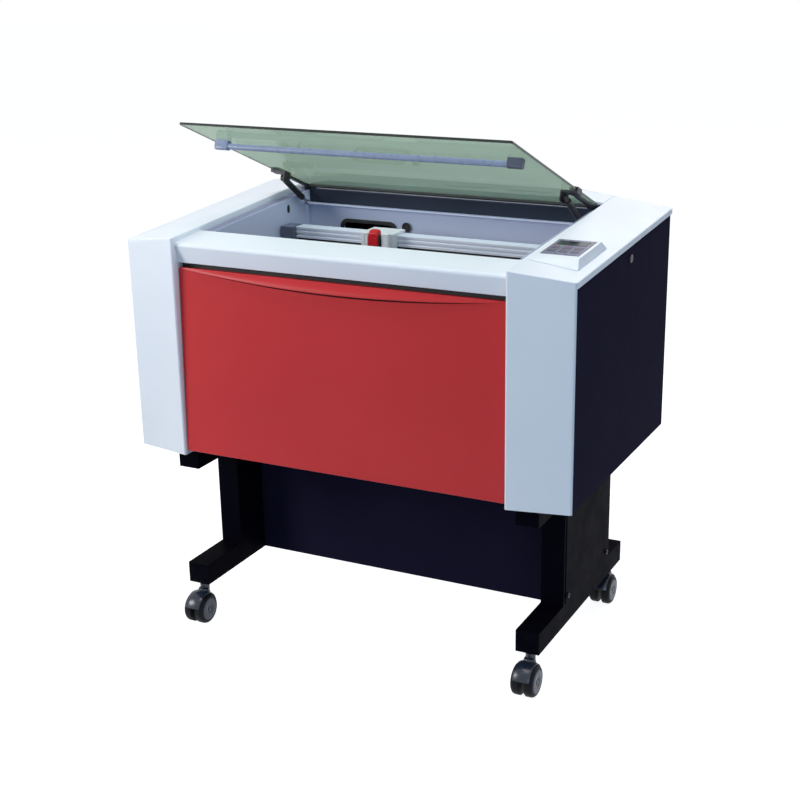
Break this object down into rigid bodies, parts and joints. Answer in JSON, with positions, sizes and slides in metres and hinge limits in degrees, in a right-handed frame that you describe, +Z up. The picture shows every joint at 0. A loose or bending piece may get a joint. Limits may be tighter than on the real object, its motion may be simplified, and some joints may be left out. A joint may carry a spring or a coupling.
{
  "type": "desktop laser cutter",
  "caption": "Desktop laser cutter on a castored stand: tinted lift-up lid, drop-down front door, gantry with laser head, lifting work table and a small console on one column.",
  "frame": {"origin": "centre of the footprint of the bounding box, on the floor", "axes": "+X to the machine's right as seen by its user, +Y from front to back, +Z up"},
  "size_m": [1.13, 0.75, 1.2696],
  "materials": {
    "white_paint": "fine powder coat, satin",
    "well_paint": "pale blue-grey powder coat, satin",
    "red_paint": "smooth red paint, semi-gloss",
    "navy_paint": "dark powder coat, satin",
    "black_paint": "black powder coat, satin",
    "rail_paint": "dark blue-grey coat, satin",
    "black_plastic": "moulded, matte",
    "caster_plastic": "moulded, matte",
    "caster_tread": "smooth",
    "tinted_glass": "green tint, polished, dark edges",
    "strut_body": "gloss black",
    "strut_rod": "polished dark",
    "bright_aluminium": "satin anodised",
    "honeycomb_metal": "bare cells",
    "bare_steel": "ground",
    "belt_rubber": "toothed",
    "seal_rubber": "matte",
    "head_red": "gloss",
    "head_white": "satin",
    "lock_chrome": "polished",
    "console_plastic": "moulded, fine grain",
    "keypad_film": "semi-gloss",
    "key_plastic": "moulded",
    "switch_red": "gloss"
  },
  "bodies": {
    "chassis": {"base_pan": "navy_paint", "exhaust_manifold": "black_plastic", "extraction_port_trim": "seal_rubber", "front_crossbar": "white_paint", "hinge_rail": "rail_paint", "keypad_console": "console_plastic", "keypad_plate": "keypad_film", "laser_source": "bright_aluminium", "left_column_cover": "white_paint", "left_side_panel": "navy_paint", "left_stand_frame": "black_paint", "left_y_rail": "bare_steel", "lid_interlock": "black_plastic", "lift_frame": "bare_steel", "mains_inlet": "black_plastic", "modesty_panel": "navy_paint", "power_supply": "bare_steel", "rear_deck": "white_paint", "rear_panel": "navy_paint", "right_column_cover": "white_paint", "right_side_panel": "navy_paint", "right_stand_frame": "black_paint", "right_y_rail": "bare_steel", "well_left_wall": "well_paint", "well_rear_wall": "well_paint", "well_right_wall": "well_paint"},
    "lid": {"lid_glass": "tinted_glass", "lid_arm_left": "black_plastic", "lid_arm_right": "black_plastic", "lid_lamp": "bright_aluminium"},
    "door": {"front_door": "red_paint"},
    "gantry": {"gantry_beam": "bright_aluminium", "x_belt": "belt_rubber", "left_y_carriage": "black_plastic", "right_y_carriage": "black_plastic"},
    "head": {"head_carriage": "head_white", "laser_head": "head_red", "focus_nozzle": "bare_steel"},
    "table": {"work_table": "bright_aluminium", "honeycomb_insert": "honeycomb_metal"},
    "lock": {"side_lock": "lock_chrome"},
    "rocker": {"mains_switch": "switch_red"},
    "strut_rod_body_left": {"strut_rod_left": "strut_rod"},
    "strut_cylinder_body_left": {"strut_cylinder_left": "strut_body"},
    "strut_rod_body_right": {"strut_rod_right": "strut_rod"},
    "strut_cylinder_body_right": {"strut_cylinder_right": "strut_body"},
    "key_body_1": {"key_1": "key_plastic"},
    "key_body_2": {"key_2": "key_plastic"},
    "key_body_3": {"key_3": "key_plastic"},
    "key_body_4": {"key_4": "key_plastic"},
    "key_body_5": {"key_5": "key_plastic"},
    "key_body_6": {"key_6": "key_plastic"},
    "front_left_caster_fork": {"front_left_caster_hood": "caster_plastic"},
    "front_left_caster_wheel_pair": {"front_left_caster_wheels": "caster_tread"},
    "front_right_caster_fork": {"front_right_caster_hood": "caster_plastic"},
    "front_right_caster_wheel_pair": {"front_right_caster_wheels": "caster_tread"},
    "rear_left_caster_fork": {"rear_left_caster_hood": "caster_plastic"},
    "rear_left_caster_wheel_pair": {"rear_left_caster_wheels": "caster_tread"},
    "rear_right_caster_fork": {"rear_right_caster_hood": "caster_plastic"},
    "rear_right_caster_wheel_pair": {"rear_right_caster_wheels": "caster_tread"}
  },
  "joints": [
    {"name": "lid_hinge", "type": "hinge", "parent": "chassis", "child": "lid", "pos_m": [0, 0.225, 1.0363], "axis": [1, 0, 0], "range_deg": [0, 25.7]},
    {"name": "door_hinge", "type": "hinge", "parent": "chassis", "child": "door", "pos_m": [0, -0.358, 0.4983], "axis": [1, 0, 0], "range_deg": [0, 90]},
    {"name": "gantry_slide", "type": "slide", "parent": "chassis", "child": "gantry", "axis": [0, 1, 0], "range_m": [-0.247, 0.09]},
    {"name": "head_slide", "type": "slide", "parent": "gantry", "child": "head", "axis": [1, 0, 0], "range_m": [-0.203, 0.411]},
    {"name": "table_lift", "type": "slide", "parent": "chassis", "child": "table", "axis": [0, 0, 1], "range_m": [-0.2, 0.1]},
    {"name": "lock_turn", "type": "hinge", "parent": "chassis", "child": "lock", "pos_m": [0.565, 0.013, 0.96993], "axis": [1, 0, 0], "range_deg": [0, 90]},
    {"name": "rocker_tilt", "type": "hinge", "parent": "chassis", "child": "rocker", "pos_m": [0.38, 0.312, 0.5673], "axis": [1, 0, 0], "range_deg": [0, 12]},
    {"name": "strut_left_pivot", "type": "hinge", "parent": "chassis", "child": "strut_rod_body_left", "pos_m": [-0.382, 0.182, 1.0043], "axis": [1, 0, 0], "range_deg": [0, 31.2]},
    {"name": "strut_left_slide", "type": "slide", "parent": "strut_rod_body_left", "child": "strut_cylinder_body_left", "axis": [0, -0.8148, 0.5797], "range_m": [-0.0206, 0]},
    {"name": "strut_right_pivot", "type": "hinge", "parent": "chassis", "child": "strut_rod_body_right", "pos_m": [0.382, 0.182, 1.0043], "axis": [1, 0, 0], "range_deg": [0, 31.2]},
    {"name": "strut_right_slide", "type": "slide", "parent": "strut_rod_body_right", "child": "strut_cylinder_body_right", "axis": [0, -0.8148, 0.5797], "range_m": [-0.0206, 0]},
    {"name": "key_1_press", "type": "slide", "parent": "chassis", "child": "key_body_1", "axis": [0, 0.0649, -0.9979], "range_m": [0, 0.0008], "stiffness_N_per_m": 600, "springref_m": -0.0008},
    {"name": "key_2_press", "type": "slide", "parent": "chassis", "child": "key_body_2", "axis": [0, 0.0649, -0.9979], "range_m": [0, 0.0008], "stiffness_N_per_m": 600, "springref_m": -0.0008},
    {"name": "key_3_press", "type": "slide", "parent": "chassis", "child": "key_body_3", "axis": [0, 0.0649, -0.9979], "range_m": [0, 0.0008], "stiffness_N_per_m": 600, "springref_m": -0.0008},
    {"name": "key_4_press", "type": "slide", "parent": "chassis", "child": "key_body_4", "axis": [0, 0.0649, -0.9979], "range_m": [0, 0.0008], "stiffness_N_per_m": 600, "springref_m": -0.0008},
    {"name": "key_5_press", "type": "slide", "parent": "chassis", "child": "key_body_5", "axis": [0, 0.0649, -0.9979], "range_m": [0, 0.0008], "stiffness_N_per_m": 600, "springref_m": -0.0008},
    {"name": "key_6_press", "type": "slide", "parent": "chassis", "child": "key_body_6", "axis": [0, 0.0649, -0.9979], "range_m": [0, 0.0008], "stiffness_N_per_m": 600, "springref_m": -0.0008},
    {"name": "front_left_caster_swivel", "type": "hinge", "parent": "chassis", "child": "front_left_caster_fork", "pos_m": [-0.45, -0.287, 0.09], "axis": [0, 0, 1], "continuous": true},
    {"name": "front_left_caster_roll", "type": "hinge", "parent": "front_left_caster_fork", "child": "front_left_caster_wheel_pair", "pos_m": [-0.45, -0.311, 0.038], "axis": [1, 0, 0], "continuous": true},
    {"name": "front_right_caster_swivel", "type": "hinge", "parent": "chassis", "child": "front_right_caster_fork", "pos_m": [0.45, -0.287, 0.09], "axis": [0, 0, 1], "continuous": true},
    {"name": "front_right_caster_roll", "type": "hinge", "parent": "front_right_caster_fork", "child": "front_right_caster_wheel_pair", "pos_m": [0.45, -0.311, 0.038], "axis": [1, 0, 0], "continuous": true},
    {"name": "rear_left_caster_swivel", "type": "hinge", "parent": "chassis", "child": "rear_left_caster_fork", "pos_m": [-0.45, 0.245, 0.09], "axis": [0, 0, 1], "continuous": true},
    {"name": "rear_left_caster_roll", "type": "hinge", "parent": "rear_left_caster_fork", "child": "rear_left_caster_wheel_pair", "pos_m": [-0.45, 0.221, 0.038], "axis": [1, 0, 0], "continuous": true},
    {"name": "rear_right_caster_swivel", "type": "hinge", "parent": "chassis", "child": "rear_right_caster_fork", "pos_m": [0.45, 0.245, 0.09], "axis": [0, 0, 1], "continuous": true},
    {"name": "rear_right_caster_roll", "type": "hinge", "parent": "rear_right_caster_fork", "child": "rear_right_caster_wheel_pair", "pos_m": [0.45, 0.221, 0.038], "axis": [1, 0, 0], "continuous": true}
  ],
  "couplings": [
    {"joint": "strut_left_pivot", "follows": "lid_hinge", "ratio": 1.2078},
    {"joint": "strut_left_slide", "follows": "lid_hinge", "m_per_rad": -0.04556},
    {"joint": "strut_right_pivot", "follows": "lid_hinge", "ratio": 1.2078},
    {"joint": "strut_right_slide", "follows": "lid_hinge", "m_per_rad": -0.04556}
  ]
}
